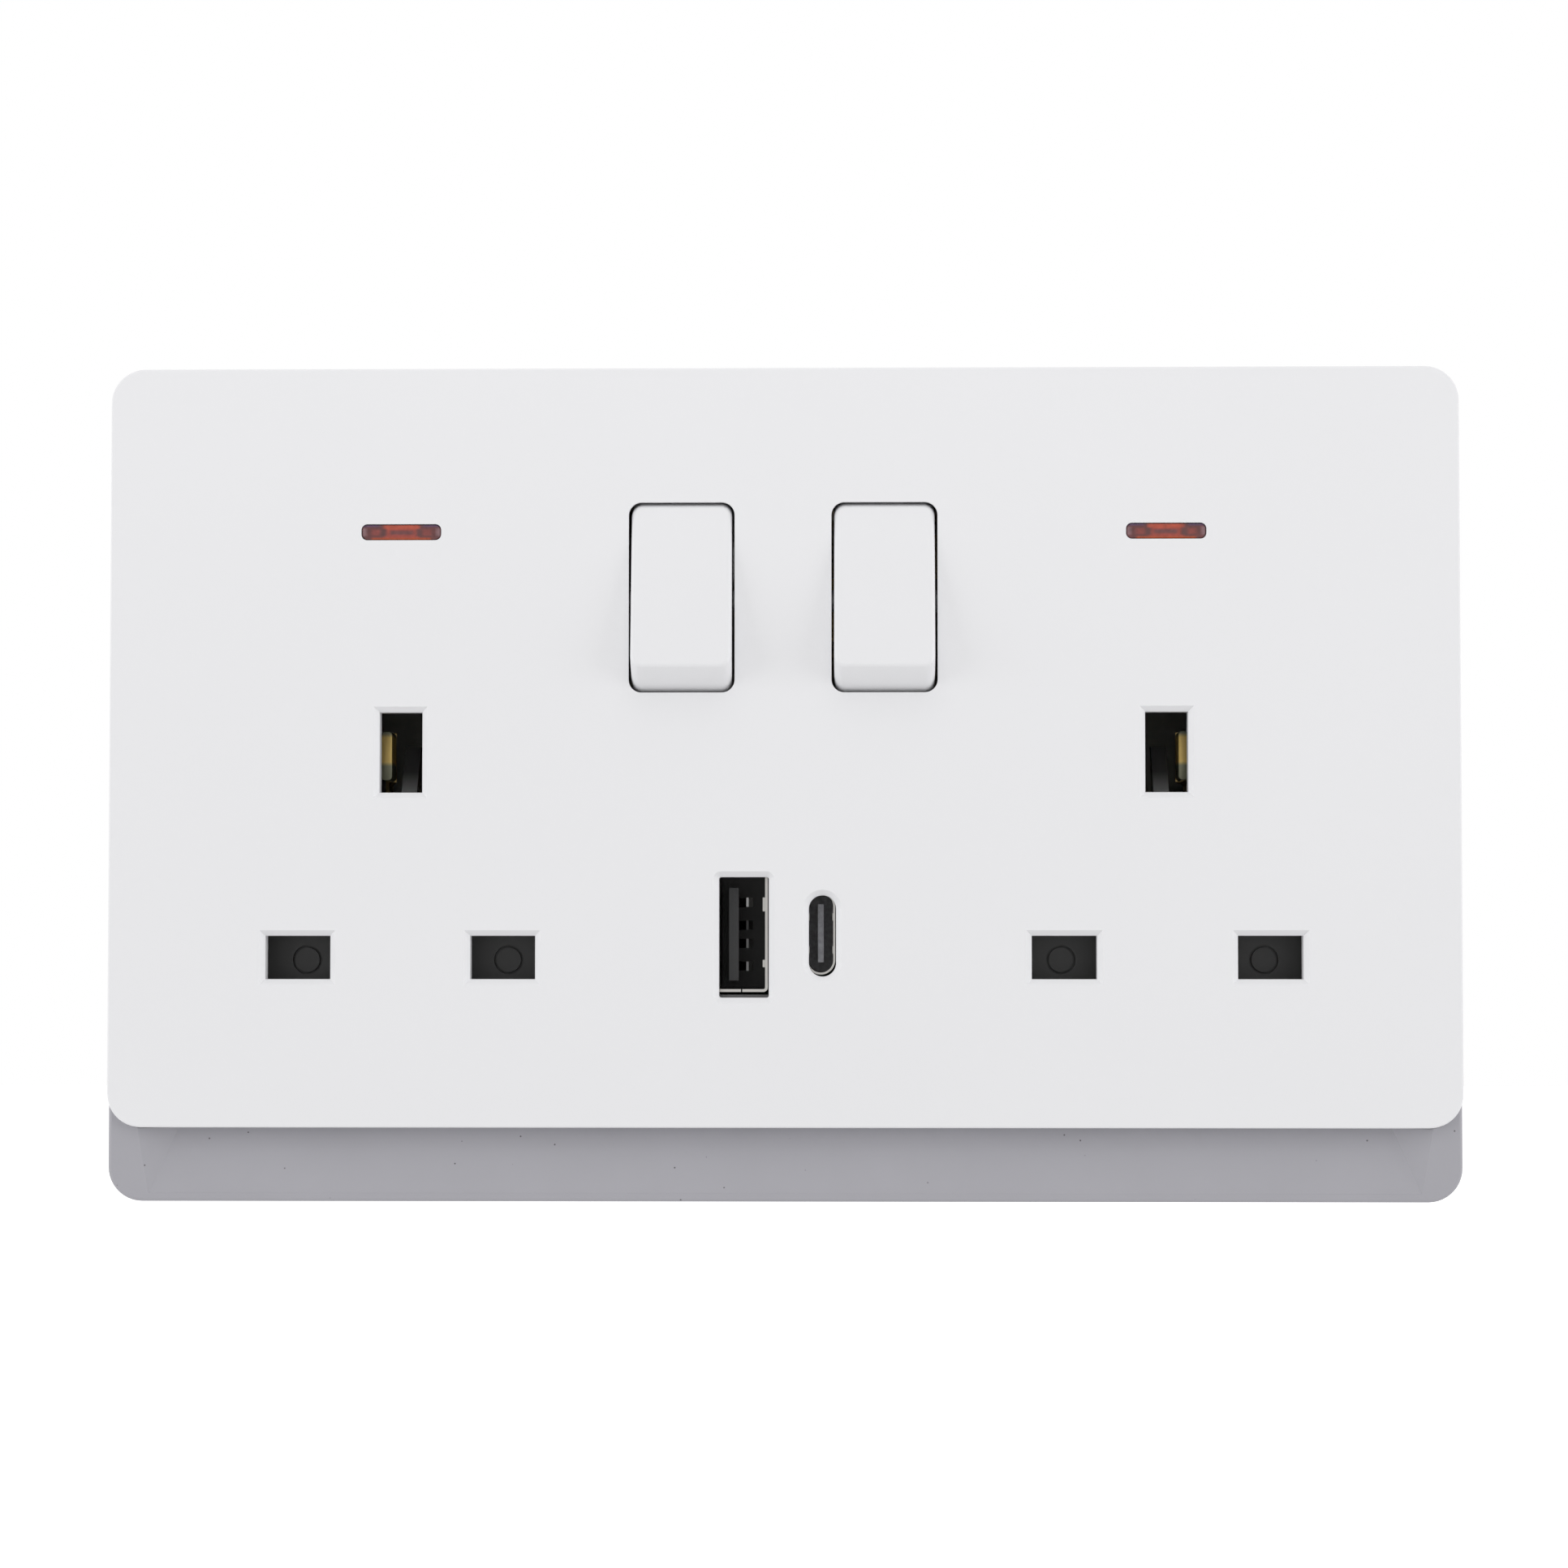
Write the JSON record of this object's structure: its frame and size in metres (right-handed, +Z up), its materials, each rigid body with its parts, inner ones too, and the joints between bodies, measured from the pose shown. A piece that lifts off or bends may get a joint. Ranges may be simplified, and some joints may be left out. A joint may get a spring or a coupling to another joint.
{
  "type": "usb wall socket",
  "caption": "White screwless double wall socket with rocker switches, red neon strips, two charging ports and a grey frame lip below its plate",
  "frame": {"origin": "Midway between the two wall screw holes, on the wall plane", "axes": "X to the right seen from the room, Y into the wall, Z up"},
  "size_m": [0.1464, 0.0373, 0.0904],
  "materials": {
    "white_plastic": "satin white moulding",
    "rocker_plastic": "smooth white moulding",
    "grey_plastic": "fine matt grey moulding",
    "dark_plastic": "matt dark moulding",
    "housing_plastic": "plain moulding",
    "shutter_plastic": "matt dark moulding",
    "nylon": "natural nylon",
    "spring_steel": "drawn wire",
    "neon_red": "tinted clear moulding",
    "lamp_glass": "clear",
    "port_steel": "plated sheet",
    "port_plastic": "matt moulding",
    "contact_gold": "plated",
    "board_green": "lacquered laminate",
    "ferrite": "pressed ferrite",
    "can_aluminium": "drawn can",
    "brass": "pressed sheet",
    "screw_steel": "zinc plated"
  },
  "bodies": {
    "fixture": {"front_plate": "white_plastic", "mounting_frame": "grey_plastic", "socket_deck": "dark_plastic", "rear_housing": "housing_plastic", "neon_lens_left": "neon_red", "neon_lens_right": "neon_red", "neon_lamp_left": "lamp_glass", "neon_lamp_right": "lamp_glass", "usb_a_shell": "port_steel", "usb_a_insulator": "port_plastic", "usb_a_contacts": "contact_gold", "usb_c_shell": "port_steel", "usb_c_insulator": "port_plastic", "usb_board": "board_green", "transformer": "ferrite", "capacitors": "can_aluminium", "earth_strap": "brass", "neutral_bar": "brass", "live_contact_left": "brass", "live_contact_right": "brass", "live_bar": "brass", "terminal_screws": "screw_steel", "deck_screws": "screw_steel", "housing_screws": "screw_steel"},
    "switch_left": {"rocker_left": "rocker_plastic", "plunger_left": "nylon", "plunger_spring_left": "spring_steel"},
    "switch_right": {"rocker_right": "rocker_plastic", "plunger_right": "nylon", "plunger_spring_right": "spring_steel"},
    "contact_left": {"moving_contact_left": "brass"},
    "contact_right": {"moving_contact_right": "brass"},
    "guard_left": {"shutter_left": "shutter_plastic", "shutter_spring_left": "spring_steel"},
    "guard_right": {"shutter_right": "shutter_plastic", "shutter_spring_right": "spring_steel"}
  },
  "joints": [
    {"name": "rocker_left_turn", "type": "hinge", "parent": "fixture", "child": "switch_left", "pos_m": [-0.011, -0.0043, 0.0202], "axis": [1, 0, 0], "range_deg": [0, 20.06]},
    {"name": "contact_left_tip", "type": "hinge", "parent": "fixture", "child": "contact_left", "pos_m": [-0.011, 0.0042, 0.0202], "axis": [1, 0, 0], "range_deg": [-14, 0]},
    {"name": "guard_left_slide", "type": "slide", "parent": "fixture", "child": "guard_left", "axis": [0, 0, -1], "range_m": [0, 0.0055], "stiffness_N_per_m": 120, "springref_m": -0.004, "deforming": ["shutter_spring_left"]},
    {"name": "rocker_right_turn", "type": "hinge", "parent": "fixture", "child": "switch_right", "pos_m": [0.011, -0.0043, 0.0202], "axis": [1, 0, 0], "range_deg": [0, 20.06]},
    {"name": "contact_right_tip", "type": "hinge", "parent": "fixture", "child": "contact_right", "pos_m": [0.011, 0.0042, 0.0202], "axis": [1, 0, 0], "range_deg": [-14, 0]},
    {"name": "guard_right_slide", "type": "slide", "parent": "fixture", "child": "guard_right", "axis": [0, 0, -1], "range_m": [0, 0.0055], "stiffness_N_per_m": 120, "springref_m": -0.004, "deforming": ["shutter_spring_right"]}
  ],
  "couplings": [
    {"joint": "contact_left_tip", "follows": "rocker_left_turn", "ratio": -0.697},
    {"joint": "contact_right_tip", "follows": "rocker_right_turn", "ratio": -0.697}
  ]
}
